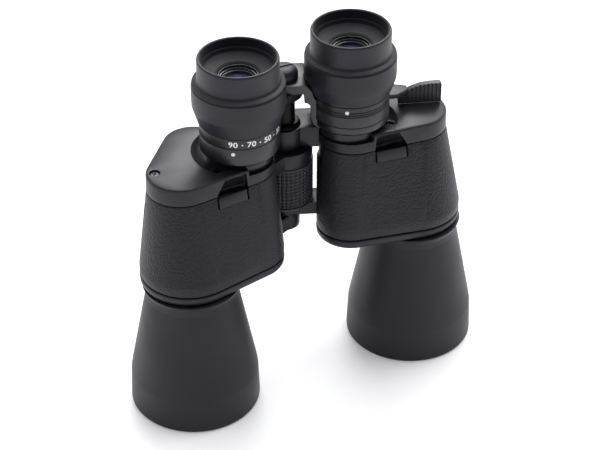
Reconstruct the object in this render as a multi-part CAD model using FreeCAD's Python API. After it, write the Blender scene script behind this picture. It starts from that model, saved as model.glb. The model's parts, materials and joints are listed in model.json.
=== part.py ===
"""Zoom Porro-prism binoculars, standing on their objective rims.

+Z runs from the objectives up to the eyecups, +X to the user's right-hand barrel as the
underside (-Y) is seen, and the hinge line is the Z axis at (0, HINGE_Y).  Millimetres.
The left half is modelled; the right half is its mirror image in the plane X = 0, apart
from the hinge lugs, the zoom lever and the dioptre ring.
"""
import FreeCAD, Part
import math
import os

V = FreeCAD.Vector
UP = V(0, 0, 1)

# ---- driving dimensions ---------------------------------------------------------------
# optical and hinge axes in plan (left half)
OBJ = (-60.7, -4.0)
OCU = (-29.4, 5.7)
HINGE_Y = 18.0
PRISM_SHIFT = 23.2             # sideways shift of the light path in each prism
PRISM_TURN = 62.2              # direction of the first shift, degrees from +X

# levels
Z_PLATE = 70.0                 # underside of the objective-side plate
Z_BODY = 75.0                  # prism housing starts
Z_BELLY = 80.0                 # widest level of the housing
Z_SEAM = 121.0                 # prism housing ends, prism cover starts
Z_COVER = 130.0                # top of the prism cover
Z_SHELF = 99.5                 # underside of the prism shelf
Z_HUB = 131.5                  # underside of the eyepiece hub
Z_RIM = 180.5                  # top of the eyecups

# housing outline: hull of three circles, (x, y, radius), at two levels
LOW_LEFT_HALF = ((-60.7, -2.3, 24.1), (-29.0, -3.5, 16.4), (-50.0, 20.0, 15.0))
LOW_RIGHT_HALF = ((-60.7, -2.3, 24.1), (-26.0, -2.7, 16.7), (-50.0, 20.0, 15.0))
HULL_TOP = ((-62.0, 1.2, 16.5), (-30.2, 4.9, 17.0), (-46.8, 21.5, 14.5))
GRIP_T = 1.0                   # leatherette-grained rubber cover
WALL = 2.0                     # housing and prism-cover wall
SEAM_GAP = 0.5                 # shadow gap at the two parting lines

# objective
OBJ_RIM_R = 32.0
LENS_R = 26.8
CLEAR_R = 25.0
NECK_R = 20.4
CEMENT_Z = 13.6                # rim of the cemented face between the two elements
CROWN_RISE = 1.8

# hinge and focus drive
LUG_R = 7.7
DISC_R = 13.9
PIN_R = 5.0
BUSH_R = 7.0
SPINDLE_R = 5.4
FIT = 0.05                     # radial running fit
WHEEL_R = 14.2
WHEEL_Z = (86.4, 110.4)
SLEEVE_T = 1.2                 # rubber sleeve of the wheel
STUB_R = 3.0                   # stub of the spindle inside the cap
STUB_Z = 158.0
FACE_GAP = 0.15                # between stacked faces that turn on each other
KNUCKLE_Z = (145.8, 155.2)     # the two bridge arms where they sit on the spindle
KNUCKLE_SPLIT = 150.6
KNUCKLE_R = 11.4               # space left for the upper knuckle at every fold
LOWER_KNUCKLE_R = 9.0
# hinge lugs: bottom, top, radius, bore, width of the web to the housing
LUG_WEB = 6.5
DISC_WEB = 9.5
LOW_LEFT = (71.0, 79.2, LUG_R, PIN_R + FIT, LUG_WEB, LUG_WEB)
LOW_RIGHT = (79.4, 86.1, LUG_R, PIN_R + FIT, LUG_WEB, LUG_WEB)
HIGH_LEFT = (110.7, 118.3, DISC_R, BUSH_R + FIT, DISC_WEB, DISC_WEB)
HIGH_RIGHT = (118.5, 129.4, 9.3, BUSH_R + FIT, 5.5, 12.5)
SOCKET_R = 2.55                # minor radius of the 1/4 inch - 20 tripod thread
SOCKET_DEEP = 7.0
SOCKET_Z = 69.4                # mouth of the tripod socket, underside of the hinge pin

# eyepiece
LEFT_RING_Z = 141.6            # top of the fixed index ring, left eyepiece
RIGHT_RING_Z = 136.2           # top of the fixed hub, right eyepiece
LEFT_SLOT = (144.4, 100.0)     # level and direction of the left zoom peg
RIGHT_SLOT = (139.4, 80.0)
LEFT_COLLAR_Z = 147.3
RIGHT_COLLAR_Z = 149.5
GUIDE_R = 15.5
BARREL_R = 13.6
BARREL_Z = 116.5               # lower end of the sliding eyepiece tube
GUIDE_Z = Z_SEAM + FACE_GAP    # lower end of the fixed guide tube
RING_R = 19.0
COLLAR_R = 22.2
CUP_R = 19.3
ARM_HALF = 9.3                 # bridge arm in front of its centre line
ARM_BACK = 12.4                # bridge arm behind its centre line
ARM_NECK = 9.3                 # where the arm is full height, from the hinge line
ARM_WING = 4.5                 # where the upper knuckle widens at the back
DISH_R = 23.3                  # dish in the cover round the eyepiece
EASE = 0.3                     # eased edge of the rings and of the lever

# zoom lever
LEVER_TURN = -20.0             # direction of the lever at full magnification, degrees
RIB_PITCH = 2.0
RIB_COUNT = 9
ZOOM_BORE = 14.75              # bore of the two zoom rings

# strap lug pocket in the edge of each cover
POCKET_X = (-50.7, -33.8)
POCKET_BACK = -9.0
POCKET_Z = 114.6
POCKET_ROOF = 128.6
POCKET_LINER = 1.2
STRAP_PIN_R = 0.7
PAD_T = 1.1                    # wall left standing in front of the pocket
OUTSIDE_Y = -25.0              # any level in front of the housing

# side slot in the grip cover, on the outer side of each housing
SLOT_TURN = 164.0
SLOT_Z = (83.5, 114.5)
SLOT_WIDE = 2.6
SLOT_DEEP = 0.75

# prism cover screws: x, y, level of the countersunk pocket's rim
SCREWS = ((-73.5, 5.0, 130.0), (-45.5, -5.0, 128.4))
POST_R = 3.2
POST_Z = 104.0
HEAD_R = 2.5
HEAD_DEEP = 2.4
SHANK_R = 1.2

# prisms
PRISM_LONG = 20.0              # half length of the hypotenuse face
PRISM_WIDE = 9.5               # half width
PRISM_RISE = 19.6
SHELF_T = 3.0
CLIP_T = 0.5
CLIP_HALF = 1.6


# ---- small helpers --------------------------------------------------------------------
def ring(x, y, radius, z0, z1, bore=0.0):
    """Upright cylinder or tube."""
    body = Part.makeCylinder(radius, z1 - z0, V(x, y, z0))
    if bore:
        body = body.cut(Part.makeCylinder(bore, z1 - z0, V(x, y, z0)))
    return body


def box(x0, x1, y0, y1, z0, z1):
    return Part.makeBox(x1 - x0, y1 - y0, z1 - z0, V(x0, y0, z0))


def turned(x, y, profile):
    """Solid of revolution about the vertical through (x, y) from (radius, z) points."""
    points = [V(x + r, y, z) for r, z in profile]
    face = Part.Face(Part.makePolygon(points + points[:1]))
    return face.revolve(V(x, y, 0), UP, 360)


def cap_arc(x, y, radius, z_edge, sag):
    """Half section of a spherical face centred on the axis: sag is its crown's rise."""
    sphere_r = (radius ** 2 + sag ** 2) / (2 * abs(sag))
    half_r = radius / 2
    fall = sphere_r - math.sqrt(sphere_r ** 2 - half_r ** 2)
    crown = z_edge + sag
    middle = V(x + half_r, y, crown - math.copysign(fall, sag))
    return Part.Arc(V(x, y, crown), middle, V(x + radius, y, z_edge)).toShape()


def lens(x, y, radius, z_low, z_high, rise_low, rise_high):
    """Lens between two spherical faces; each rise is the crown's height over its edge."""
    low = cap_arc(x, y, radius, z_low, rise_low)
    high = cap_arc(x, y, radius, z_high, rise_high)
    edge = Part.makeLine(V(x + radius, y, z_low), V(x + radius, y, z_high))
    axis = Part.makeLine(V(x, y, z_high + rise_high), V(x, y, z_low + rise_low))
    face = Part.Face(Part.Wire([low, edge, high, axis]))
    return face.revolve(V(x, y, 0), UP, 360)


def hull_wire(circles, grow, z):
    """Closed outline round three circles: tangent lines joined by arcs, anticlockwise."""
    normals = []
    for i, (x0, y0, r0) in enumerate(circles):
        x1, y1, r1 = circles[(i + 1) % 3]
        length = math.hypot(x1 - x0, y1 - y0)
        heading = math.atan2(y1 - y0, x1 - x0)
        normals.append(heading - math.pi / 2 + math.asin((r0 - r1) / length))
    edges = []
    for i, (x, y, r) in enumerate(circles):
        start, end = normals[i - 1], normals[i]
        while end < start:
            end += 2 * math.pi
        a, b, c = (V(x + (r + grow) * math.cos(t), y + (r + grow) * math.sin(t), z)
                   for t in (start, (start + end) / 2, end))
        edges.append(Part.Arc(a, b, c).toShape())
        xn, yn, rn = circles[(i + 1) % 3]
        nxt = V(xn + (rn + grow) * math.cos(end), yn + (rn + grow) * math.sin(end), z)
        edges.append(Part.makeLine(c, nxt))
    return Part.Wire(edges)


def circles_at(z, low):
    """The three outline circles at a level, straight between the low and top outlines."""
    t = min(max((z - Z_BELLY) / (Z_SEAM - Z_BELLY), 0.0), 1.0)
    return [tuple(a + (b - a) * t for a, b in zip(start, top))
            for start, top in zip(low, HULL_TOP)]


def hull(levels, low=LOW_LEFT_HALF):
    """Ruled solid through outlines given as (z, growth of the outline)."""
    wires = [hull_wire(circles_at(z, low), grow, z) for z, grow in levels]
    return Part.makeLoft(wires, True, True)


def prism(centre, turn, z, rise):
    """Porro prism with rounded ends: hypotenuse face at level z, truncated roof edge."""
    flat = 1.8
    edge = z + math.copysign(flat, rise)
    profile = [V(-PRISM_LONG, 0, z), V(PRISM_LONG, 0, z), V(PRISM_LONG, 0, edge),
               V(flat, 0, z + rise), V(-flat, 0, z + rise), V(-PRISM_LONG, 0, edge)]
    face = Part.Face(Part.makePolygon(profile + profile[:1]))
    solid = face.extrude(V(0, 2 * PRISM_WIDE, 0))
    solid.translate(V(0, -PRISM_WIDE, 0))
    low, high = sorted((z, z + rise))
    middle = PRISM_SHIFT / 2
    round_ends = box(-middle, middle, -PRISM_WIDE, PRISM_WIDE, low, high)
    for x in (-middle, middle):
        round_ends = round_ends.fuse(ring(x, 0, PRISM_WIDE, low, high))
    solid = solid.common(round_ends)
    solid.rotate(V(0, 0, 0), UP, turn)
    solid.translate(V(centre[0], centre[1], 0))
    return solid


def mirrored(shape):
    return shape.mirror(V(0, 0, 0), V(1, 0, 0))


def hinge_ring(radius, z0, z1, bore=0.0):
    return ring(0, HINGE_Y, radius, z0, z1, bore)


# ---- prism housing and its closures (left half) ---------------------------------------
def pocket_cut(extra=0.0):
    """Strap-lug pocket: a box in the housing edge that narrows upward into the cover."""
    x0, x1 = POCKET_X[0] - extra, POCKET_X[1] + extra
    back = POCKET_BACK + extra
    low = box(x0, x1, OUTSIDE_Y, back, POCKET_Z - extra, Z_SEAM + 0.3)
    slant_outer, slant_inner = 4.5, 0.8
    roof = POCKET_ROOF + extra
    outline = [V(x0, OUTSIDE_Y, Z_SEAM), V(x1, OUTSIDE_Y, Z_SEAM),
               V(x1 - slant_inner, OUTSIDE_Y, roof), V(x0 + slant_outer, OUTSIDE_Y, roof)]
    high = Part.Face(Part.makePolygon(outline + outline[:1]))
    return low.fuse(high.extrude(V(0, back - OUTSIDE_Y, 0)))


def pocket_pad(low):
    """Wall left standing in front of the pocket, flush with the grip cover."""
    side = 0.9
    pad = box(POCKET_X[0] + side, POCKET_X[1] - side, OUTSIDE_Y, POCKET_BACK, POCKET_Z,
              Z_SEAM - 1.2)
    skin = hull([(Z_BELLY, -0.1), (Z_SEAM, -0.1)], low)
    core = hull([(Z_BELLY, -0.1 - PAD_T), (Z_SEAM, -0.1 - PAD_T)], low)
    return pad.common(skin).cut(core)


def lug(z0, z1, radius, bore, front, back):
    """Hinge lug of the left half: a disc on the hinge line and a web to the housing."""
    web = box(0, 24, -back, front, z0, z1)
    web.rotate(V(0, 0, 0), UP, math.degrees(math.atan2(OCU[1] - HINGE_Y, OCU[0])))
    web.translate(V(0, HINGE_Y, 0))
    lug_body = hinge_ring(radius, z0, z1).fuse(web)
    return lug_body.cut(hinge_ring(bore, z0 - 1, z1 + 1))


def housing_skin(low):
    """Outer form of the prism housing, under the grip cover."""
    return hull([(Z_BODY, -GRIP_T - 0.6), (Z_BELLY, -GRIP_T), (Z_SEAM, -GRIP_T)], low)


def prism_housing(low, low_lug, high_lug):
    """Shell round the prisms, open at both ends, with two hinge lugs and screw posts."""
    outer = housing_skin(low)
    inner = hull([(Z_BODY, -GRIP_T - WALL), (Z_BELLY, -GRIP_T - WALL),
                  (Z_SEAM, -GRIP_T - WALL)], low)
    body = outer.cut(inner)
    for x, y, _ in SCREWS:
        post = ring(x, y, POST_R, POST_Z, Z_SEAM)
        body = body.fuse(post.common(outer))
    rib_x, rib_y, _ = SCREWS[1]
    rib = box(rib_x - 1.5, rib_x + 1.5, OUTSIDE_Y, rib_y, POST_Z, Z_SEAM)
    body = body.fuse(rib.common(outer))
    liner = pocket_cut(POCKET_LINER).common(outer)
    body = body.fuse(liner).cut(pocket_cut()).fuse(pocket_pad(low)).cut(strap_bar())
    for hinge_lug in (low_lug, high_lug):
        body = body.fuse(lug(*hinge_lug).cut(inner))
    cover_space = hull([(Z_SEAM, FACE_GAP), (Z_COVER, FACE_GAP)])
    body = body.cut(cover_space).cut(ring(*OCU, BARREL_R + 0.3, BARREL_Z - 0.3, Z_SEAM))
    body = body.cut(ring(*OCU, PRISM_WIDE + 0.1, Z_SHELF - PRISM_RISE, Z_SHELF))
    for x, y, _ in SCREWS:
        body = body.cut(ring(x, y, SHANK_R + FIT, 110.0, Z_SEAM + 1))
    return body


def grip_cover(low, high_lug):
    """Grained rubber wrap round the housing, cut away at the hinge, slot and pocket."""
    outer = hull([(Z_BODY + SEAM_GAP, -0.35), (Z_BODY + 1.1, -0.05), (Z_BELLY, 0.0),
                  (Z_SEAM - SEAM_GAP, 0.0)], low)
    body = outer.cut(housing_skin(low))
    body = body.cut(box(POCKET_X[0], POCKET_X[1], OUTSIDE_Y, POCKET_BACK, POCKET_Z,
                        Z_SEAM + 1))
    webs = ((LOW_LEFT[0], LOW_RIGHT[1] + 2.4, LUG_R, LUG_WEB),
            (HIGH_LEFT[0] - 0.2, HIGH_RIGHT[1], DISC_R, DISC_WEB))
    for z0, z1, radius, width in webs:
        body = body.cut(lug(z0, z1, radius + 0.2, 1.0, width, width))
    body = body.cut(lug(*high_lug))
    slot = box(0, 30, -SLOT_WIDE / 2, SLOT_WIDE / 2, *SLOT_Z)
    slot.rotate(V(0, 0, 0), UP, SLOT_TURN)
    slot.translate(V(HULL_TOP[0][0], HULL_TOP[0][1], 0))
    slot_floor = hull([(Z_BELLY, -SLOT_DEEP), (Z_SEAM, -SLOT_DEEP)], low)
    return body.cut(slot.cut(slot_floor))


def dish_profile(drop):
    """Dish round the eyepiece as seen in half section, lowered by drop."""
    return [(0, 135), (DISH_R, 135), (DISH_R, Z_COVER - drop), (21.5, 127.9 - drop),
            (19.0, 126.6 - drop), (16.6, 125.9 - drop), (0, 125.9 - drop)]


def prism_cover():
    """Cover over the eyepiece end of the prisms, dished round the eyepiece."""
    outer = hull([(Z_SEAM, 0.0), (Z_COVER - 1.2, -0.1), (Z_COVER - 0.35, -0.45),
                  (Z_COVER, -1.1)])
    inner = hull([(Z_SEAM, -WALL - 0.2), (Z_COVER - WALL, -WALL - 0.2)])
    body = outer.cut(inner.cut(turned(*OCU, dish_profile(WALL))))
    body = body.cut(turned(*OCU, dish_profile(0)))
    for x, y, z in SCREWS:
        body = body.fuse(ring(x, y, 4.0, Z_SEAM, z).common(outer))
    body = body.fuse(pocket_cut(POCKET_LINER).common(outer)).cut(pocket_cut())
    body = body.cut(ring(*OCU, GUIDE_R, Z_SEAM - 1, 131))
    for x, y, z in SCREWS:
        body = body.cut(ring(x, y, SHANK_R + 0.5, Z_SEAM - 1, z))
        body = body.cut(ring(x, y, HEAD_R + 0.2, z - HEAD_DEEP, Z_COVER + 1))
    return body


def cover_screws():
    """Two cross-recessed pan-head screws holding the prism cover."""
    screws = []
    for x, y, z in SCREWS:
        seat = z - HEAD_DEEP
        head = turned(x, y, [(0, seat), (HEAD_R, seat), (HEAD_R, seat + 1.0),
                             (HEAD_R - 0.6, seat + 1.7), (0, seat + 1.9)])
        screw = head.fuse(ring(x, y, SHANK_R, 111.0, seat))
        for turn in (45, 135):
            slot = box(-1.5, 1.5, -0.28, 0.28, seat + 0.9, seat + 3.0)
            slot.rotate(V(0, 0, 0), UP, turn)
            slot.translate(V(x, y, 0))
            screw = screw.cut(slot)
        screws.append(screw)
    return Part.makeCompound(screws)


def front_plate(low, low_lug):
    """Plate closing the objective end of the housing, notched for a lug beside it."""
    body = hull([(Z_PLATE, -2.0), (Z_PLATE + 0.6, -0.9), (Z_PLATE + 1.8, -0.1),
                 (Z_BODY - 0.7, 0.15), (Z_BODY, -0.2)], low)
    body = body.cut(ring(*OBJ, NECK_R, Z_PLATE - 1, Z_BODY + 1))
    if low_lug[0] < Z_BODY:
        body = body.cut(lug(*low_lug))
    return body


def strap_bar():
    """Steel pin across the strap pocket, let into the walls at both ends."""
    bite = 0.9
    length = POCKET_X[1] - POCKET_X[0] + 2 * bite
    return Part.makeCylinder(STRAP_PIN_R, length,
                             V(POCKET_X[0] - bite, POCKET_BACK - 1.9, 118.2), V(1, 0, 0))


# ---- prisms ---------------------------------------------------------------------------
def light_turn():
    """Point where the light comes down between the two prisms."""
    angle = math.radians(PRISM_TURN)
    return OBJ[0] + PRISM_SHIFT * math.cos(angle), OBJ[1] + PRISM_SHIFT * math.sin(angle)


def prism_shelf(low):
    inset = -GRIP_T - WALL - 0.1
    body = hull([(Z_SHELF, inset), (Z_SHELF + SHELF_T, inset)], low)
    for x, y in (OBJ, light_turn(), OCU):
        body = body.cut(ring(x, y, 8.6, Z_SHELF - 1, Z_SHELF + SHELF_T + 1))
    return body


def prism_place(optical_axis):
    """Centre and direction of the prism between an optical axis and the light's turn."""
    mid = light_turn()
    centre = ((optical_axis[0] + mid[0]) / 2, (optical_axis[1] + mid[1]) / 2)
    turn = math.atan2(mid[1] - optical_axis[1], mid[0] - optical_axis[0])
    return centre, math.degrees(turn)


def upper_prism():
    return prism(*prism_place(OBJ), Z_SHELF + SHELF_T, PRISM_RISE)


def lower_prism():
    return prism(*prism_place(OCU), Z_SHELF, -PRISM_RISE)


def prism_clips():
    """Two spring clips pressing the prisms onto the shelf by their truncated edges."""
    leg_y = PRISM_WIDE + CLIP_T
    clips = []
    for axis, base, rise in ((OBJ, Z_SHELF + SHELF_T, PRISM_RISE), (OCU, Z_SHELF, -PRISM_RISE)):
        crown = base + rise
        crown_top = crown + math.copysign(CLIP_T, rise)
        clip = box(-CLIP_HALF, CLIP_HALF, -leg_y, leg_y, *sorted((crown, crown_top)))
        for y0 in (-leg_y - CLIP_T, leg_y):
            leg = box(-CLIP_HALF, CLIP_HALF, y0, y0 + CLIP_T, *sorted((base, crown_top)))
            clip = clip.fuse(leg)
        centre, turn = prism_place(axis)
        clip.rotate(V(0, 0, 0), UP, turn)
        clip.translate(V(centre[0], centre[1], 0))
        clips.append(clip)
    return Part.makeCompound(clips)


# ---- objective ------------------------------------------------------------------------
def objective_barrel():
    """Flared objective tube: rim sleeve, step, long cone and threaded neck."""
    cone = 0.193

    def cone_r(z):
        return 30.7 - cone * (z - 22.0)

    profile = [(29.6, 0), (31.2, 0), (31.8, 0.5), (OBJ_RIM_R, 1.6), (31.4, 18.0), (31.15, 19.8),
               (30.7, 22.0), (cone_r(64.0), 64.0), (22.6, 67.2), (23.5, 69.2), (23.9, Z_PLATE),
               (NECK_R, Z_PLATE), (NECK_R, Z_BODY), (17.6, Z_BODY), (17.9, 68.0),
               (cone_r(24.0) - 3.2, 24.0), (CLEAR_R, 20.0), (CLEAR_R, 19.2), (LENS_R, 19.2),
               (LENS_R, 9.6), (29.0, 9.6), (29.6, 8.0)]
    return turned(*OBJ, profile)


def objective_crown():
    return lens(*OBJ, LENS_R - FIT, 11.2, CEMENT_Z, -1.8, CROWN_RISE)


def objective_flint():
    """Flint element cemented on the crown: the two faces between them match."""
    return lens(*OBJ, LENS_R - FIT, CEMENT_Z + FIT, 19.1, CROWN_RISE, -0.6)


def objective_retainer():
    """Threaded ring holding the objective lens in the barrel."""
    profile = [(CLEAR_R, 7.6), (26.0, 6.4), (29.4, 6.4), (29.4, 8.0), (28.8, 9.5),
               (LENS_R - 0.1, 9.5), (LENS_R - 0.1, 11.1), (CLEAR_R + 0.6, 10.8)]
    return turned(*OBJ, profile)


# ---- eyepiece -------------------------------------------------------------------------
def guide_tube():
    """Fixed tube in the prism cover that the eyepiece slides in."""
    bore = BARREL_R + FIT
    return turned(*OCU, [(bore, GUIDE_Z), (GUIDE_R, GUIDE_Z), (GUIDE_R, 130.4),
                         (GUIDE_R - 0.5, 130.9), (bore, 130.9)])


def eyepiece_barrel(slot_z):
    """Sliding eyepiece tube, with the slot that the zoom ring's peg moves in."""
    flare_z = LEFT_RING_Z + FACE_GAP
    body = turned(*OCU, [(11.5, BARREL_Z), (BARREL_R, BARREL_Z), (BARREL_R, flare_z),
                         (14.6, flare_z + 1.0), (14.6, 166.0), (11.5, 166.0)])
    window = turned(*OCU, [(10.0, slot_z - 1.2), (16.0, slot_z - 1.2),
                                     (16.0, slot_z + 1.2), (10.0, slot_z + 1.2)])
    keep = box(OCU[0] - 20, OCU[0] + 20, OCU[1], OCU[1] + 20, slot_z - 2, slot_z + 2)
    return body.cut(window.common(keep))


def cam_tube(slot_z, peg_turn):
    """Inner tube turned by the zoom ring through a peg; it carries the zoom cam."""
    body = turned(*OCU, [(10.4, 121.0), (11.4, 121.0), (11.4, 152.0), (10.4, 152.0)])
    hole = Part.makeCylinder(0.9, 4.0, V(9.0, 0, slot_z), V(1, 0, 0))
    hole.rotate(V(0, 0, 0), UP, peg_turn)
    hole.translate(V(OCU[0], OCU[1], 0))
    return body.cut(hole)


def zoom_peg(slot_z, peg_turn):
    peg = Part.makeCylinder(0.85, 7.0, V(10.6, 0, slot_z), V(1, 0, 0))
    peg.rotate(V(0, 0, 0), UP, peg_turn)
    peg.translate(V(OCU[0], OCU[1], 0))
    return peg


def zoom_cell():
    return turned(*OCU, [(8.6, 126.0), (10.35, 126.0), (10.35, 134.0), (8.6, 134.0),
                                   (8.6, 132.0), (9.4, 132.0), (9.4, 128.0), (8.6, 128.0)])


def zoom_lens():
    return lens(*OCU, 9.35, 128.6, 131.4, -0.5, 0.5)


def eye_cell():
    """Cell of the eye lens, seen at the bottom of the eyecup."""
    return turned(*OCU, [(8.2, 160.0), (11.4, 160.0), (11.4, 166.2), (9.5, 166.8),
                                   (9.4, 171.0), (8.6, 171.0), (8.2, 170.2), (8.2, 169.0),
                                   (8.9, 168.4), (8.9, 162.6), (8.2, 162.0)])


def eye_lens():
    return lens(*OCU, 8.85, 163.6, 166.6, -0.8, 1.6)


def ocular_collar(z_low):
    """Wide tapered collar that carries the rubber eyecup."""
    start_r = 19.3 + (z_low - 146.0) * 0.28
    return turned(*OCU, [(14.65, z_low), (start_r - 0.5, z_low), (start_r, z_low + 0.4),
                                   (21.2, 152.8), (21.8, 154.6), (COLLAR_R, 156.4),
                                   (COLLAR_R, 166.3), (21.9, 166.9), (18.2, 166.9),
                                   (18.2, 170.0), (14.65, 170.0)])


def eyecup():
    """Fold-down rubber eyecup: shoulder, upright wall, soft rim and inner funnel."""
    return turned(*OCU, [(18.25, 167.0), (21.95, 167.0), (21.85, 167.4), (21.3, 167.8),
                                   (20.1, 168.2), (19.5, 168.7), (CUP_R, 169.6), (CUP_R, 179.7),
                                   (19.05, 180.25), (18.6, Z_RIM), (18.1, Z_RIM - 0.1),
                                   (17.7, 179.9), (17.55, 176.4), (16.9, 175.5), (10.2, 171.9),
                                   (9.6, 171.2), (9.6, 170.2), (18.25, 170.2)])


# ---- bridge and zoom rings ------------------------------------------------------------
def arm_frame(shape):
    """Turn a shape drawn along +X from the hinge so that it points at the left ocular."""
    shape.rotate(V(0, 0, 0), UP, math.degrees(math.atan2(OCU[1] - HINGE_Y, OCU[0])))
    shape.translate(V(0, HINGE_Y, 0))
    return shape


def bridge_arm(ring_z, upper):
    """Arm from the focus spindle down to the eyepiece hub; ring_z is where the hub ends."""
    z0, z1 = KNUCKLE_Z
    side = [(ARM_NECK, z0), (10.8, z0 - 0.4), (12.0, z0 - 1.6), (12.4, z0 - 3.2), (12.7, 137.0),
            (13.6, 133.6), (16.0, Z_HUB), (24.0, Z_HUB), (24.0, 140.0), (17.0, 145.0),
            (14.4, 149.2), (12.0, 152.8), (10.4, z1 - 0.3), (ARM_NECK, z1)]
    face = Part.Face(Part.makePolygon([V(x, -ARM_BACK, z) for x, z in side + side[:1]]))
    arm = face.extrude(V(0, ARM_BACK + ARM_HALF, 0))
    half_gap = FACE_GAP / 2
    if upper:
        low, high, radius = KNUCKLE_SPLIT + half_gap, z1, ARM_HALF
    else:
        low, high, radius = z0, KNUCKLE_SPLIT - half_gap, LOWER_KNUCKLE_R
    neck = box(0, ARM_NECK + 0.5, -radius, radius, low, high)
    if upper:
        neck = neck.fuse(box(ARM_WING, ARM_NECK + 0.5, -ARM_BACK, 0, low, high))
    arm = arm_frame(arm.fuse(neck)).fuse(hinge_ring(radius, low, high))
    if not upper:
        arm = arm.cut(hinge_ring(KNUCKLE_R, KNUCKLE_SPLIT - half_gap, z1 + 2))
    ring_space = RING_R + 0.35
    arm = arm.cut(turned(*OCU, [(0, ring_z + FACE_GAP), (ring_space, ring_z + FACE_GAP),
                                (ring_space, LEFT_COLLAR_Z), (20.0, LEFT_COLLAR_Z),
                                (21.55, 152.8), (22.15, 154.6), (22.6, 156.4), (0, 156.4)]))
    hub = turned(*OCU, [(BARREL_R, Z_HUB), (17.6, Z_HUB), (RING_R, Z_HUB + 1.6),
                                  (RING_R, ring_z), (BARREL_R, ring_z)])
    arm = arm.cut(ring(*OCU, BARREL_R, Z_HUB - 1, z1)).fuse(hub)
    return arm.cut(hinge_ring(SPINDLE_R + FIT, z0 - 3, z1 + 3))


def plain_ring(z0, z1, bore):
    """Smooth eyepiece ring with eased edges."""
    return turned(*OCU, [(bore, z0), (RING_R - EASE, z0), (RING_R, z0 + EASE),
                                   (RING_R, z1 - EASE), (RING_R - EASE, z1), (bore, z1)])


def zoom_lever():
    """Zoom ring of the right eyepiece with its thumb lever, drawn at the left ocular."""
    body = plain_ring(RIGHT_RING_Z + FACE_GAP, 142.4, ZOOM_BORE).fuse(zoom_peg(*RIGHT_SLOT))
    plate = [(9.0, 4.0), (24.0, 5.0), (29.5, 9.4), (29.5, 12.6), (22.0, 15.0), (9.0, 15.5)]
    tongue = Part.Face(Part.makePolygon([V(u, v, 137.0) for u, v in plate + plate[:1]]))
    tongue = tongue.extrude(V(0, 0, 2.3))
    fin = [(25.3, 131.0), (46.2, 131.0), (46.5, 131.3), (46.5, 140.6), (45.9, 141.2),
           (40.5, 141.2), (36.0, 140.6), (31.5, 139.0), (28.0, 137.4), (25.3, 136.6)]
    web = Part.Face(Part.makePolygon([V(u, 9.6, z) for u, z in fin + fin[:1]]))
    web = web.extrude(V(0, 3.2, 0))
    for i in range(RIB_COUNT):
        u = 29.6 + i * RIB_PITCH
        web = web.cut(ring(u, 9.5, 0.55, 131.6, 142.0))
    lever = tongue.fuse(web)
    lever.rotate(V(0, 0, 0), UP, LEVER_TURN)
    lever = mirrored(lever)
    lever.translate(V(OCU[0], OCU[1], 0))
    lever = lever.cut(ring(*OCU, RING_R - 1.0, 130, 145))
    return body.fuse(lever)


# ---- hinge and focus drive ------------------------------------------------------------
def hinge_pin():
    """Lower hinge pin, rounded foot outside, tapped for a tripod adapter."""
    foot = SOCKET_Z + 1.4
    top = LOW_RIGHT[1] + 0.1
    roof = SOCKET_Z + SOCKET_DEEP
    profile = [(SOCKET_R, SOCKET_Z), (4.6, SOCKET_Z), (6.4, SOCKET_Z + 0.4), (7.2, foot),
               (PIN_R, foot), (PIN_R, top), (0, top), (0, roof), (SOCKET_R, roof)]
    return turned(0, HINGE_Y, profile)


def hinge_bush():
    """Upper hinge bush round the focus spindle, with a flange on top of the lugs."""
    bore = SPINDLE_R + FIT
    low, seat = HIGH_LEFT[0] + 0.1, HIGH_RIGHT[1] + 0.1
    return turned(0, HINGE_Y, [(bore, low), (BUSH_R, low), (BUSH_R, seat), (8.0, seat),
                               (8.0, seat + 0.7), (7.0, seat + 1.9), (bore, seat + 2.1)])


def focus_wheel():
    return hinge_ring(WHEEL_R - SLEEVE_T, *WHEEL_Z, SPINDLE_R + FIT)


def focus_grip():
    """Rubber sleeve of the focus wheel with eased ends."""
    z0, z1 = WHEEL_Z
    bore, ease = WHEEL_R - SLEEVE_T, 0.6
    return turned(0, HINGE_Y, [(bore, z0), (WHEEL_R - ease, z0), (WHEEL_R, z0 + ease),
                               (WHEEL_R, z1 - ease), (WHEEL_R - ease, z1), (bore, z1)])


def focus_spindle():
    """Spindle raised by the wheel; its shoulder carries the bridge, its stub the cap."""
    low, shoulder = 93.0, KNUCKLE_Z[1] + 0.2
    return turned(0, HINGE_Y, [(0, low), (SPINDLE_R - 0.5, low), (SPINDLE_R, low + 0.5),
                               (SPINDLE_R, shoulder), (STUB_R, shoulder), (STUB_R, STUB_Z),
                               (0, STUB_Z)])


def spindle_cap():
    """Domed cap screwed on the spindle above the bridge, with a coin slot."""
    z0 = KNUCKLE_Z[1] + 0.25
    inside = STUB_Z + FIT
    body = turned(0, HINGE_Y, [(STUB_R, z0), (6.9, z0), (6.9, 158.0), (6.5, 159.3),
                               (5.5, 160.3), (4.0, 160.9), (0, 161.1), (0, inside),
                               (STUB_R, inside)])
    return body.cut(box(-7.5, 7.5, HINGE_Y - 0.6, HINGE_Y + 0.6, 160.0, 162.0))


# ---- assembly -------------------------------------------------------------------------
def half(low, low_lug, high_lug):
    return {
        "prism_housing": prism_housing(low, low_lug, high_lug),
        "grip_cover": grip_cover(low, high_lug),
        "prism_cover": prism_cover(),
        "cover_screws": cover_screws(),
        "front_plate": front_plate(low, low_lug),
        "strap_bar": strap_bar(),
        "prism_shelf": prism_shelf(low),
        "upper_prism": upper_prism(),
        "lower_prism": lower_prism(),
        "prism_clips": prism_clips(),
        "objective_barrel": objective_barrel(),
        "objective_crown": objective_crown(),
        "objective_flint": objective_flint(),
        "objective_retainer": objective_retainer(),
        "guide_tube": guide_tube(),
    }


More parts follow.
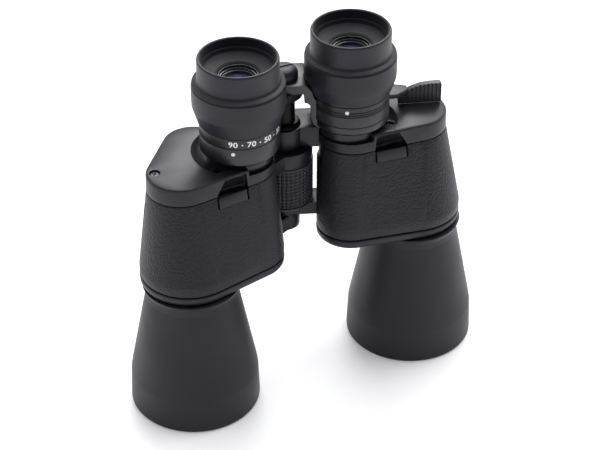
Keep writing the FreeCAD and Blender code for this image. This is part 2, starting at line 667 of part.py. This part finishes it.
def eyepiece(slot, collar_z):
    """slot is the level and direction of the zoom peg."""
    return {
        "eyepiece_barrel": eyepiece_barrel(slot[0]),
        "cam_tube": cam_tube(*slot),
        "zoom_cell": zoom_cell(),
        "zoom_lens": zoom_lens(),
        "eye_cell": eye_cell(),
        "eye_lens": eye_lens(),
        "ocular_collar": ocular_collar(collar_z),
        "eyecup": eyecup(),
    }


def build():
    nodes = {}
    left = half(LOW_LEFT_HALF, LOW_LEFT, HIGH_LEFT)
    left.update(eyepiece(LEFT_SLOT, LEFT_COLLAR_Z))
    left["bridge_arm"] = bridge_arm(LEFT_RING_Z, False)
    scale_ring = plain_ring(LEFT_RING_Z + FACE_GAP, LEFT_COLLAR_Z - FACE_GAP, ZOOM_BORE)
    left["zoom_scale_ring"] = scale_ring.fuse(zoom_peg(*LEFT_SLOT))
    right = half(LOW_RIGHT_HALF, LOW_RIGHT, HIGH_RIGHT)
    right.update(eyepiece(RIGHT_SLOT, RIGHT_COLLAR_Z))
    right["bridge_arm"] = bridge_arm(RIGHT_RING_Z, True)
    right["zoom_lever"] = zoom_lever()
    right["dioptre_ring"] = plain_ring(142.4 + FACE_GAP, RIGHT_COLLAR_Z - FACE_GAP, 14.65)
    for name, shape in left.items():
        nodes["left_" + name] = shape
    for name, shape in right.items():
        nodes["right_" + name] = mirrored(shape)
    nodes["hinge_pin"] = hinge_pin()
    nodes["hinge_bush"] = hinge_bush()
    nodes["focus_wheel"] = focus_wheel()
    nodes["focus_wheel_grip"] = focus_grip()
    nodes["focus_spindle"] = focus_spindle()
    nodes["spindle_cap"] = spindle_cap()
    return nodes


os.makedirs("parts", exist_ok=True)
for name, shape in build().items():
    shape.exportStep("parts/%s.step" % name)
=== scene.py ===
"""Looks of the zoom binoculars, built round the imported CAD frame.

Turned pieces, the knurled focus wheel and the printed marks are built here; the other
visible CAD nodes are copied with eased edges.  Lengths in the helpers are millimetres.
"""
import json
import math

import bmesh
import bpy
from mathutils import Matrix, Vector

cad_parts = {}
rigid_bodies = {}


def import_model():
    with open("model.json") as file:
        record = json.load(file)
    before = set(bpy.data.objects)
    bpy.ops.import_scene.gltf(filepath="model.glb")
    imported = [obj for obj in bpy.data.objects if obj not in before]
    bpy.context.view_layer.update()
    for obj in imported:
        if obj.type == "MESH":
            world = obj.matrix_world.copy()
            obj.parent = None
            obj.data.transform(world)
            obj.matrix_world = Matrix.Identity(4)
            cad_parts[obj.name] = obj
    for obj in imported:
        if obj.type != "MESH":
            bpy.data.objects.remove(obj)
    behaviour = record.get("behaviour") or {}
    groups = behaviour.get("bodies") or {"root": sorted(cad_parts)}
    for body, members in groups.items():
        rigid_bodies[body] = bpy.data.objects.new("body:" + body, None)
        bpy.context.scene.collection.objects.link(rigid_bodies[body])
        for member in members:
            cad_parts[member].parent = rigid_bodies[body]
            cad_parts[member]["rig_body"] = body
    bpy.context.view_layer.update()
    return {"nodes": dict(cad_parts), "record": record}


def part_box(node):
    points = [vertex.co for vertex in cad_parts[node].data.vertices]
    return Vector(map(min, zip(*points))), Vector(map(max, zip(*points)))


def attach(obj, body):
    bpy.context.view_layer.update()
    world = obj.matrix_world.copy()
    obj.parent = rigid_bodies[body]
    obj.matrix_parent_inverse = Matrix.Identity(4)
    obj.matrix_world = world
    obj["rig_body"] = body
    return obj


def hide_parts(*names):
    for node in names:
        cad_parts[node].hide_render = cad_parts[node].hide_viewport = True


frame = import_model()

MM = 0.001
scene = bpy.context.scene


# ---- places taken from the frame ------------------------------------------------------
def middle(node):
    """Centre of a node's box, in millimetres."""
    low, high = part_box(node)
    return (low + high) / 2 / MM


def span_z(node):
    """Lowest and highest point of a node, in millimetres."""
    low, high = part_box(node)
    return low.z / MM, high.z / MM


SIDES = ("left", "right")
OCULAR = {side: middle(side + "_eyecup") for side in SIDES}
OBJECTIVE = {side: middle(side + "_objective_barrel") for side in SIDES}
HINGE = middle("focus_spindle")

# ---- bodies that the new pieces ride on -----------------------------------------------
COLLAR_BODY = {"left": "left_carriage", "right": "right_dioptre"}
HALF = {"left": "left_half", "right": "right_half"}
EYE_BODY = {"left": "left_carriage", "right": "right_eye_group"}

# ---- camera ---------------------------------------------------------------------------
CAMERA_AZIMUTH = -26.73
CAMERA_ELEVATION = 35.45
CAMERA_DISTANCE = 0.9702
CAMERA_TARGET = Vector((-0.0005, -0.0003, 0.0804))
CAMERA_LENS = 118.6
SENSOR_WIDTH = 36.0


def camera_back():
    """Unit vector from the target to the camera."""
    a, e = math.radians(CAMERA_AZIMUTH), math.radians(CAMERA_ELEVATION)
    return Vector((math.sin(a) * math.cos(e), -math.cos(a) * math.cos(e), math.sin(e)))


def make_camera():
    """Long lens that looks down on the front left corner."""
    data = bpy.data.cameras.new("camera")
    data.lens = CAMERA_LENS
    data.sensor_width = SENSOR_WIDTH
    camera = bpy.data.objects.new("camera", data)
    scene.collection.objects.link(camera)
    camera.location = CAMERA_TARGET + camera_back() * CAMERA_DISTANCE
    camera.rotation_euler = (-camera_back()).to_track_quat("-Z", "Y").to_euler()
    scene.camera = camera


# ---- materials ------------------------------------------------------------------------
class Nodes:
    """Small helper that adds and links shader nodes of one material."""

    def __init__(self, name):
        self.material = bpy.data.materials.new(name)
        self.material.use_nodes = True
        self.tree = self.material.node_tree
        self.shader = self.tree.nodes["Principled BSDF"]
        self.place = self.add("ShaderNodeTexCoord").outputs["Object"]

    def add(self, kind, **values):
        node = self.tree.nodes.new(kind)
        for key, value in values.items():
            setattr(node, key, value)
        return node

    def link(self, source, target):
        self.tree.links.new(source, target)

    def noise(self, scale, detail=3.0, roughness=0.5):
        node = self.add("ShaderNodeTexNoise")
        node.inputs["Scale"].default_value = scale
        node.inputs["Detail"].default_value = detail
        node.inputs["Roughness"].default_value = roughness
        self.link(self.place, node.inputs["Vector"])
        return node.outputs["Fac"]

    def ramp(self, value, low, high, start=0.35, end=0.65):
        """Value spread between two colours or two numbers."""
        node = self.add("ShaderNodeMapRange")
        node.inputs["From Min"].default_value = start
        node.inputs["From Max"].default_value = end
        node.inputs["To Min"].default_value = low
        node.inputs["To Max"].default_value = high
        self.link(value, node.inputs["Value"])
        return node.outputs["Result"]

    def mix(self, factor, first, second):
        node = self.add("ShaderNodeMix", data_type="RGBA")
        self.link(factor, node.inputs["Factor"])
        node.inputs["A"].default_value = (*first, 1.0)
        node.inputs["B"].default_value = (*second, 1.0)
        return node.outputs["Result"]

    def bump(self, height, strength, distance, below=None):
        node = self.add("ShaderNodeBump")
        node.inputs["Strength"].default_value = strength
        node.inputs["Distance"].default_value = distance
        self.link(height, node.inputs["Height"])
        if below is not None:
            self.link(below, node.inputs["Normal"])
        return node.outputs["Normal"]

    def socket(self, name, value):
        self.shader.inputs[name].default_value = value


def scaled(colour, factor):
    """Colour made darker or lighter."""
    return tuple(channel * factor for channel in colour)


def satin(name, colour, rough, gloss, grain=1400.0, depth=0.00002):
    """Moulded plastic or sprayed metal: very fine texture, faint cloudiness and wear."""
    m = Nodes(name)
    cloud = m.noise(38.0, 4.0)
    fine = m.noise(grain, 2.0)
    m.link(m.mix(cloud, scaled(colour, 0.86), scaled(colour, 1.16)), m.shader.inputs["Base Color"])
    m.link(m.ramp(cloud, rough - 0.05, rough + 0.05), m.shader.inputs["Roughness"])
    m.link(m.bump(fine, 0.5, depth), m.shader.inputs["Normal"])
    m.socket("Specular IOR Level", gloss)
    return m.material


def leatherette(name, colour, rough, gloss):
    """Rubber wrap with the fine pebbled grain of leather."""
    m = Nodes(name)
    warp = m.noise(500.0, 2.0)
    cells = m.add("ShaderNodeTexVoronoi", feature="SMOOTH_F1")
    cells.inputs["Scale"].default_value = 950.0
    cells.inputs["Smoothness"].default_value = 0.35
    shift = m.add("ShaderNodeVectorMath", operation="MULTIPLY_ADD")
    shift.inputs[1].default_value = (0.0006, 0.0006, 0.0006)
    m.link(warp, shift.inputs[0])
    m.link(m.place, shift.inputs[2])
    m.link(shift.outputs["Vector"], cells.inputs["Vector"])
    pebble = cells.outputs["Distance"]
    cloud = m.noise(30.0, 4.0)
    m.link(m.mix(m.ramp(pebble, 1.0, 0.0, 0.0, 0.6), scaled(colour, 0.72), scaled(colour, 1.12)),
           m.shader.inputs["Base Color"])
    m.link(m.ramp(cloud, rough - 0.05, rough + 0.06), m.shader.inputs["Roughness"])
    coarse = m.bump(pebble, 0.8, -0.00030)
    m.link(m.bump(m.noise(2600.0, 2.0), 0.3, 0.00003, coarse), m.shader.inputs["Normal"])
    m.socket("Specular IOR Level", gloss)
    return m.material


def soft_rubber(name, colour, rough):
    """Matt rubber with a dusty bloom and a velvety edge."""
    m = Nodes(name)
    bloom = m.noise(60.0, 5.0, 0.6)
    m.link(m.mix(bloom, scaled(colour, 0.82), scaled(colour, 1.2)), m.shader.inputs["Base Color"])
    m.link(m.ramp(bloom, rough - 0.06, rough + 0.06), m.shader.inputs["Roughness"])
    m.link(m.bump(m.noise(900.0, 3.0), 0.4, 0.00004), m.shader.inputs["Normal"])
    m.socket("Specular IOR Level", 0.35)
    m.socket("Sheen Weight", 0.12)
    m.socket("Sheen Roughness", 0.5)
    return m.material


def turned_metal(name, colour, rough):
    """Lathe-turned metal: fine rings round the vertical axis."""
    m = Nodes(name)
    stretch = m.add("ShaderNodeMapping")
    stretch.inputs["Scale"].default_value = (20.0, 20.0, 4000.0)
    m.link(m.place, stretch.inputs["Vector"])
    rings = m.add("ShaderNodeTexNoise")
    rings.inputs["Scale"].default_value = 1.0
    m.link(stretch.outputs["Vector"], rings.inputs["Vector"])
    line = rings.outputs["Fac"]
    m.link(m.mix(line, scaled(colour, 0.8), scaled(colour, 1.1)), m.shader.inputs["Base Color"])
    m.link(m.ramp(line, rough - 0.08, rough + 0.08), m.shader.inputs["Roughness"])
    m.link(m.bump(line, 0.25, 0.00002), m.shader.inputs["Normal"])
    m.socket("Metallic", 1.0)
    return m.material


def lens_glass(name, tint, coat):
    """Coated optical glass over a dark interior."""
    m = Nodes(name)
    smear = m.noise(90.0, 3.0)
    m.link(m.mix(smear, scaled(tint, 0.9), tint), m.shader.inputs["Base Color"])
    m.link(m.ramp(smear, 0.02, 0.06), m.shader.inputs["Roughness"])
    m.socket("Transmission Weight", 0.85)
    m.socket("IOR", 1.5)
    m.socket("Coat Weight", 0.6)
    m.socket("Coat Tint", (*coat, 1.0))
    return m.material


def print_white(name):
    """White pad-printed ink, slightly worn."""
    m = Nodes(name)
    wear = m.noise(1500.0, 3.0)
    m.link(m.mix(wear, (0.72, 0.73, 0.75), (0.93, 0.93, 0.93)), m.shader.inputs["Base Color"])
    m.link(m.ramp(wear, 0.4, 0.6), m.shader.inputs["Roughness"])
    return m.material


SHELL = satin("shell_plastic", (0.0128, 0.0126, 0.0180), 0.42, 0.30)
GRIP = leatherette("grained_grip", (0.0150, 0.0145, 0.0215), 0.48, 0.30)
BARREL = satin("barrel_paint", (0.0140, 0.0140, 0.0180), 0.50, 0.28, 900.0, 0.00004)
COLLAR = satin("collar_plastic", (0.0145, 0.0143, 0.0210), 0.44, 0.30)
RING = satin("ring_plastic", (0.0125, 0.0125, 0.0165), 0.34, 0.36)
LEVER = satin("lever_plastic", (0.0260, 0.0260, 0.0320), 0.40, 0.38)
# The bridge metal's base colour is kept very dark as painted shade for the shadow the eyepieces
# cast on the arms' front faces; the gloss still lights the tops.
BRIDGE_WITH_PAINTED_SHADE = satin("bridge_metal", (0.0060, 0.0060, 0.0080), 0.40, 0.55)
KNURL = soft_rubber("wheel_rubber", (0.0200, 0.0200, 0.0290), 0.46)
CUP = soft_rubber("eyecup_rubber", (0.0108, 0.0106, 0.0158), 0.50)
# The funnel is the cup's rubber made far darker: painted shade for the deep hollow inside the
# eyecup.
FUNNEL_PAINTED_SHADE = soft_rubber("funnel_rubber_painted_shade", (0.0035, 0.0035, 0.0052), 0.62)
CELL = satin("lens_cell_black", (0.0080, 0.0080, 0.0105), 0.22, 0.70)
SPINDLE = satin("blacked_spindle", (0.0030, 0.0030, 0.0038), 0.42, 0.12)
STEEL = turned_metal("screw_steel", (0.055, 0.055, 0.063), 0.34)
INNER = turned_metal("inner_aluminium", (0.12, 0.12, 0.13), 0.5)
GLASS = lens_glass("optical_glass", (0.80, 0.84, 0.86), (0.8, 0.9, 1.0))
COATED = lens_glass("coated_glass", (0.30, 0.32, 0.38), (0.6, 0.7, 1.0))
WHITE = print_white("printed_white")
SLOT_LOOK = {
    "housing_plastic": SHELL, "grained_grip": GRIP, "barrel_paint": BARREL,
    "collar_plastic": COLLAR, "ring_plastic": RING, "bridge_metal": BRIDGE_WITH_PAINTED_SHADE,
    "wheel_rubber": KNURL, "eyecup_rubber": CUP, "blacked_steel": SPINDLE,
    "screw_steel": STEEL, "inner_aluminium": INNER, "optical_glass": GLASS,
    "coated_glass": COATED,
}
NODE_SLOT = {row["node"]: row["material_slot"] for row in frame["record"]["subparts"]}


# ---- mesh helpers ---------------------------------------------------------------------
SHARP = math.radians(32)


def finish_piece(name, vertices, faces, look, body, slot, *nodes):
    """Mesh from millimetre points, smooth but for its sharp edges, riding on a body."""
    mesh = bpy.data.meshes.new(name)
    mesh.from_pydata([Vector(v) * MM for v in vertices], [], faces)
    mesh.validate()
    mesh.shade_smooth()
    mesh.set_sharp_from_angle(angle=SHARP)
    mesh.materials.append(look)
    piece = bpy.data.objects.new(name, mesh)
    scene.collection.objects.link(piece)
    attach(piece, body)
    if nodes:
        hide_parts(*nodes)
    return piece


def eased(outline, steps=4):
    """Closed (radius, height[, fillet]) outline with its corners rounded."""
    points = []
    count = len(outline)
    for i, corner in enumerate(outline):
        here = Vector(corner[:2])
        fillet = corner[2] if len(corner) > 2 else 0.0
        before = Vector(outline[i - 1][:2]) - here
        after = Vector(outline[(i + 1) % count][:2]) - here
        if not fillet:
            points.append(tuple(here))
            continue
        half = before.angle(after) / 2
        back = min(fillet / math.tan(half), before.length * 0.49, after.length * 0.49)
        start, end = here + before.normalized() * back, here + after.normalized() * back
        for k in range(steps + 1):
            t = k / steps
            low = start.lerp(here, t)
            high = here.lerp(end, t)
            points.append(tuple(low.lerp(high, t)))
    return points


def lathe(name, centre, outline, look, body, slot, *nodes, turns=144):
    """Ring-shaped solid from a closed (radius, height, fillet) outline round a vertical."""
    profile = eased(outline)
    count = len(profile)
    vertices = []
    for i in range(turns):
        angle = 2 * math.pi * i / turns
        for r, z in profile:
            vertices.append((centre.x + r * math.cos(angle), centre.y + r * math.sin(angle), z))
    faces = []
    for i in range(turns):
        a, b = i * count, (i + 1) % turns * count
        for j in range(count):
            k = (j + 1) % count
            faces.append((a + j, a + k, b + k, b + j))
    return finish_piece(name, vertices, faces, look, body, slot, *nodes)


def refined(node, look, width=0.22, corner=35.0):
    """Copy of a CAD node with its flat faces joined and its sharp edges rounded."""
    mesh = frame["nodes"][node].data
    bm = bmesh.new()
    bm.from_mesh(mesh)
    bmesh.ops.remove_doubles(bm, verts=bm.verts, dist=2e-6)
    bmesh.ops.dissolve_limit(bm, angle_limit=math.radians(0.3), verts=bm.verts, edges=bm.edges)
    sharp = [e for e in bm.edges
             if len(e.link_faces) == 2 and e.calc_face_angle(0.0) > math.radians(corner)]
    bmesh.ops.bevel(bm, geom=sharp, offset=width * MM, offset_type="OFFSET", segments=2,
                    profile=0.5, affect="EDGES", clamp_overlap=True)
    bmesh.ops.triangulate(bm, faces=[f for f in bm.faces if len(f.verts) > 4])
    copy = bpy.data.meshes.new(node + "_eased")
    bm.to_mesh(copy)
    bm.free()
    copy.shade_smooth()
    copy.set_sharp_from_angle(angle=SHARP)
    copy.materials.clear()
    copy.materials.append(look)
    piece = bpy.data.objects.new(node + "_eased", copy)
    scene.collection.objects.link(piece)
    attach(piece, frame["nodes"][node]["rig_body"])
    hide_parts(node)
    return piece


# ---- objective barrels ----------------------------------------------------------------
def objective_barrel(side):
    """Flared tube: lipped rim, shallow sleeve step, long cone and flange under the plate."""
    z0, z1 = span_z(side + "_objective_barrel")
    plate = span_z(side + "_front_plate")[0]
    neck = 20.4                # radius of the neck that goes through the front plate
    outline = [
        (29.6, z0, 0.3), (31.3, z0, 0.5), (31.9, z0 + 0.9, 0.5), (32.0, z0 + 2.0, 0.6),
        (31.75, 9.0, 6.0), (31.4, 17.9, 0.4), (31.15, 19.6, 0.6), (30.7, 22.2, 2.0),
        (22.65, 63.8, 4.0), (22.5, 66.8, 2.0), (23.3, 68.9, 0.6), (23.9, plate - 0.35, 0.3),
        (23.9, plate, 0.1), (neck, plate), (neck, z1), (17.6, z1), (17.9, 68.0),
        (27.1, 24.0), (25.0, 20.0), (25.0, 19.2), (26.8, 19.2), (26.8, 9.6), (29.0, 9.6),
        (29.6, 8.0)]
    lathe(side + "_barrel_shell", OBJECTIVE[side], outline, BARREL, HALF[side],
          "barrel_paint", side + "_objective_barrel", turns=180)


# ---- eyepieces ------------------------------------------------------------------------
def eyecup(side):
    """Soft rubber cup: thin shoulder, upright wall and rolled lip over a funnel darkened with
    painted shade.
    """
    z0, z1 = span_z(side + "_eyecup")
    outline = [
        (18.25, z0), (21.95, z0, 0.15), (21.85, z0 + 0.5, 0.5), (20.0, z0 + 1.3, 1.2),
        (19.3, z0 + 2.4, 1.0), (19.3, z1 - 0.9, 0.6), (18.9, z1 - 0.1, 0.4), (18.2, z1, 0.4),
        (17.7, z1 - 0.5, 0.4), (17.6, z1 - 3.8), (18.25, z1 - 3.8)]
    lathe(side + "_rubber_cup", OCULAR[side], outline, CUP, COLLAR_BODY[side],
          "eyecup_rubber", side + "_eyecup")
    funnel = [
        (18.25, z1 - 3.8), (17.6, z1 - 3.8, 0.2), (17.5, z1 - 4.6, 0.2), (17.1, z1 - 4.8, 0.2),
        (16.6, z1 - 6.8, 0.8), (10.6, z1 - 8.5, 0.5), (9.7, z1 - 9.3, 0.2), (9.7, z1 - 10.3),
        (18.25, z1 - 10.3)]
    lathe(side + "_cup_funnel", OCULAR[side], funnel, FUNNEL_PAINTED_SHADE, COLLAR_BODY[side],
          "eyecup_rubber")


CONE_RADIUS = 19.3             # the collars' cone: its radius at a height, and its slope
CONE_Z = 146.0
CONE_SLOPE = 0.28


def ocular_collar(side):
    """Tapered collar with an eased shoulder under the rubber cup."""
    z0, z1 = span_z(side + "_ocular_collar")
    foot = CONE_RADIUS + (z0 - CONE_Z) * CONE_SLOPE
    outline = [
        (14.65, z0), (foot - 0.4, z0, 0.2), (foot, z0 + 0.5, 0.3), (21.15, 152.6, 3.0),
        (22.05, 155.6, 2.0), (22.2, 158.0, 2.0), (22.2, z1 - 3.9, 0.8), (21.6, z1 - 3.1, 0.3),
        (18.2, z1 - 3.1), (18.2, z1), (14.65, z1)]
    lathe(side + "_collar_shell", OCULAR[side], outline, COLLAR, COLLAR_BODY[side],
          "collar_plastic", side + "_ocular_collar")


def eye_cell(side):
    """Stepped black cell round the eye lens; its lips catch the light as thin rings."""
    z0, z1 = span_z(side + "_eye_cell")
    outline = [
        (8.2, z0), (11.4, z0), (11.4, z0 + 6.2), (9.55, z0 + 6.8), (9.5, z1, 0.15),
        (8.95, z1, 0.15), (8.9, z1 - 1.2), (8.2, z1 - 1.3, 0.1), (8.2, z1 - 2.4), (7.9, z1 - 2.6),
        (7.9, z0 + 2.6), (8.2, z0 + 2.0)]
    lathe(side + "_lens_cell", OCULAR[side], outline, CELL, EYE_BODY[side], "ring_plastic",
          side + "_eye_cell", turns=96)


BAND_RADIUS = 19.0
GROOVE_HALF = 0.3
GROOVE_DEPTH = 0.35


def band(name, side, node, bore, grooves, body):
    """Plain eyepiece band with shallow turned grooves; heights are from its lower face."""
    z0, z1 = span_z(node)
    outline = [(bore, z0), (BAND_RADIUS, z0, 0.45)]
    for height in grooves:
        z = z0 + height
        outline += [(BAND_RADIUS, z - GROOVE_HALF, 0.1), (BAND_RADIUS - GROOVE_DEPTH, z, 0.05),
                    (BAND_RADIUS, z + GROOVE_HALF, 0.1)]
    outline += [(BAND_RADIUS, z1, 0.5), (bore, z1)]
    lathe(name, OCULAR[side], outline, RING, body, "ring_plastic", node)


# ---- focus wheel ----------------------------------------------------------------------
WHEEL_RADIUS = 14.2
WHEEL_SLEEVE = 1.2             # thickness of the rubber
WHEEL_RIM = 1.3                # plain stretch at each end
KNURL_COLUMNS = 41
KNURL_ROWS = 11
KNURL_DEPTH = 0.55
KNURL_STEPS = 6                # mesh steps across one pad


def knurl_height(u, v):
    """Height of a square knurl pad, 0 in the groove and 1 on top; u, v run 0 to 1."""
    groove, slope = 0.22, 0.30

    def wall(t):
        edge = min(t, 1 - t) / 0.5
        return min(1.0, max(0.0, (edge - groove) / slope))
    return wall(u) * wall(v)


def focus_wheel():
    """Rubber sleeve with square knurl pads between two plain end rims."""
    z0, z1 = span_z("focus_wheel_grip")
    bore = WHEEL_RADIUS - WHEEL_SLEEVE
    low, high = z0 + WHEEL_RIM, z1 - WHEEL_RIM
    edge = [(z0, bore), (z0, WHEEL_RADIUS - 0.5), (z0 + 0.15, WHEEL_RADIUS - 0.15),
            (z0 + 0.5, WHEEL_RADIUS), (low - 0.1, WHEEL_RADIUS)]
    levels = [(z, r, None) for z, r in edge]
    rows = KNURL_ROWS * KNURL_STEPS
    for k in range(rows + 1):
        across = (k / KNURL_STEPS) % 1.0
        levels.append((low + (high - low) * k / rows, WHEEL_RADIUS, across))
    levels += [(z0 + z1 - z, r, None) for z, r in reversed(edge)]
    turns = KNURL_COLUMNS * KNURL_STEPS
    vertices = []
    for i in range(turns):
        angle = 2 * math.pi * i / turns
        for z, r, across in levels:
            if across is not None:
                r -= KNURL_DEPTH * (1 - knurl_height((i / KNURL_STEPS) % 1.0, across))
            vertices.append((HINGE.x + r * math.cos(angle), HINGE.y + r * math.sin(angle), z))
    count = len(levels)
    faces = []
    for i in range(turns):
        a, b = i * count, (i + 1) % turns * count
        for j in range(count):
            k = (j + 1) % count
            faces.append((b + k, b + j, a + j, a + k))
    finish_piece("knurled_sleeve", vertices, faces, KNURL, "focus_wheel", "wheel_rubber",
                 "focus_wheel_grip")


# ---- printed marks --------------------------------------------------------------------
INK = 0.03                     # how far the print stands off the surface


def wrap(points, side, angle, z):
    """Flat (across, up) points bent round an eyepiece band at an angle and a height."""
    centre = OCULAR[side]
    r = BAND_RADIUS + INK
    bent = []
    for x, y in points:
        a = math.radians(angle) + x / BAND_RADIUS
        bent.append((centre.x + r * math.cos(a), centre.y + r * math.sin(a), z + y))
    return bent


def dot(name, side, angle, z, size, body):
    """Round printed dot of a given radius."""
    count = 20
    turn = 2 * math.pi / count
    rim = [(size * math.cos(turn * i), size * math.sin(turn * i)) for i in range(count)]
    faces = [(0, 1 + i, 1 + (i + 1) % count) for i in range(count)]
    finish_piece(name, wrap([(0, 0)] + rim, side, angle, z), faces, WHITE, body,
                 "printed_white")


NUMBER_SIZE = 3.9
NUMBER_WIDEN = 1.12            # the dial's figures are a little wide


def numeral(text, name, side, angle, z, body):
    """Dial number printed round the band."""
    curve = bpy.data.curves.new(name + "_font", "FONT")
    curve.body = text
    curve.size = NUMBER_SIZE
    curve.align_x = "CENTER"
    curve.align_y = "CENTER"
    curve.offset = NUMBER_SIZE * 0.022
    curve.space_character = 1.04
    curve.resolution_u = 5
    holder = bpy.data.objects.new(name + "_font", curve)
    scene.collection.objects.link(holder)
    bpy.context.view_layer.update()
    flat = bpy.data.meshes.new_from_object(holder.evaluated_get(
        bpy.context.evaluated_depsgraph_get()))
    bpy.data.objects.remove(holder)
    points = [(v.co.x * NUMBER_WIDEN, v.co.y) for v in flat.vertices]
    faces = [tuple(p.vertices) for p in flat.polygons]
    finish_piece(name, wrap(points, side, angle, z), faces, WHITE, body, "printed_white")


FIRST_NUMBER = -124.0          # direction of the first number and of the index dot under it
NUMBER_STEP = 26.5
DIOPTRE_INDEX = -122.0
SMALL_DOT = 0.38
INDEX_DOT = 0.95


def zoom_scale():
    """Magnification numbers with dots between them, and an index dot on each eyepiece."""
    line = span_z("left_zoom_scale_ring")[0] + 2.5
    for i, text in enumerate(("90", "70", "50", "30")):
        angle = FIRST_NUMBER + i * NUMBER_STEP
        numeral(text, "zoom_number_" + text, "left", angle, line, "left_zoom_ring")
        if i:
            dot("zoom_dot_%d" % i, "left", angle - NUMBER_STEP / 2, line, SMALL_DOT,
                "left_zoom_ring")
    hub_line, ring_line = 139.1, 145.1
    dot("zoom_index_dot", "left", FIRST_NUMBER, hub_line, INDEX_DOT, "left_carriage")
    dot("dioptre_index_dot", "right", DIOPTRE_INDEX, ring_line, INDEX_DOT, "right_carriage")


# ---- floor and light ------------------------------------------------------------------
FLOOR_REACH = 6.0
FLOOR_GLOW = 0.16              # keeps the paper white right up to the object


def floor():
    """Plain white paper, wide enough for every view."""
    mesh = bpy.data.meshes.new("floor")
    reach = FLOOR_REACH
    mesh.from_pydata([(-reach, -reach, 0), (reach, -reach, 0), (reach, reach, 0),
                      (-reach, reach, 0)], [], [(0, 1, 2, 3)])
    m = Nodes("floor_paper")
    m.link(m.mix(m.noise(3.0), (0.90, 0.90, 0.90), (0.93, 0.93, 0.93)),
           m.shader.inputs["Base Color"])
    m.socket("Roughness", 0.9)
    m.socket("Specular IOR Level", 0.1)
    m.socket("Emission Color", (1.0, 1.0, 1.0, 1.0))
    m.socket("Emission Strength", FLOOR_GLOW)
    mesh.materials.append(m.material)
    plane = bpy.data.objects.new("floor", mesh)
    scene.collection.objects.link(plane)


def sun(name, azimuth, elevation, strength, spread):
    """Soft far light from a direction: azimuth 0 is behind the object, 90 to its right."""
    data = bpy.data.lights.new(name, "SUN")
    data.energy = strength
    data.angle = math.radians(spread)
    light = bpy.data.objects.new(name, data)
    a, e = math.radians(azimuth), math.radians(elevation)
    away = Vector((math.sin(a) * math.cos(e), math.cos(a) * math.cos(e), math.sin(e)))
    light.rotation_euler = away.to_track_quat("Z", "Y").to_euler()
    scene.collection.objects.link(light)


SOFTBOXES = {                  # name: azimuth, elevation, strength, spread
    "left_softbox": (-50.0, 62.0, 1.0, 70.0),
    "right_softbox": (60.0, 60.0, 3.0, 60.0),
    "sheen_softbox": (25.0, 37.5, 1.6, 34.0),
}
STUDIO_COLOUR = (0.96, 0.96, 1.10, 1.0)
STUDIO_STRENGTH = 0.22


def lights():
    """Dim even studio with three soft lights behind the object."""
    world = bpy.data.worlds.new("studio")
    scene.world = world
    world.use_nodes = True
    background = world.node_tree.nodes["Background"]
    background.inputs["Color"].default_value = STUDIO_COLOUR
    background.inputs["Strength"].default_value = STUDIO_STRENGTH
    for name, place in SOFTBOXES.items():
        sun(name, *place)
    scene.view_settings.view_transform = "Standard"
    scene.view_settings.look = "None"


# ---- everything together --------------------------------------------------------------
# Nodes of each half that are copied with eased edges, and the width of the easing.
EASED = {"prism_cover": 0.3, "front_plate": 0.2, "prism_housing": 0.3, "bridge_arm": 0.6,
         "guide_tube": 0.15, "cover_screws": 0.1, "grip_cover": 0.25}
make_camera()
for side in SIDES:
    objective_barrel(side)
    eyecup(side)
    ocular_collar(side)
    eye_cell(side)
    for part, width in EASED.items():
        refined(side + "_" + part, SLOT_LOOK[NODE_SLOT[side + "_" + part]], width)
band("left_scale_band", "left", "left_zoom_scale_ring", 14.75, (), "left_zoom_ring")
band("right_dioptre_band", "right", "right_dioptre_ring", 14.65, (1.0, 2.2, 5.2),
     "right_carriage")
refined("right_zoom_lever", LEVER, 0.3)
refined("spindle_cap", COLLAR, 0.3)
refined("hinge_pin", BRIDGE_WITH_PAINTED_SHADE, 0.2)
refined("hinge_bush", SPINDLE, 0.2)
focus_wheel()
zoom_scale()
# The CAD nodes that still show as they are get their slot's material.
for node, piece in frame["nodes"].items():
    if not piece.hide_render:
        piece.data.materials.clear()
        piece.data.materials.append(SLOT_LOOK[NODE_SLOT[node]])
floor()
lights()
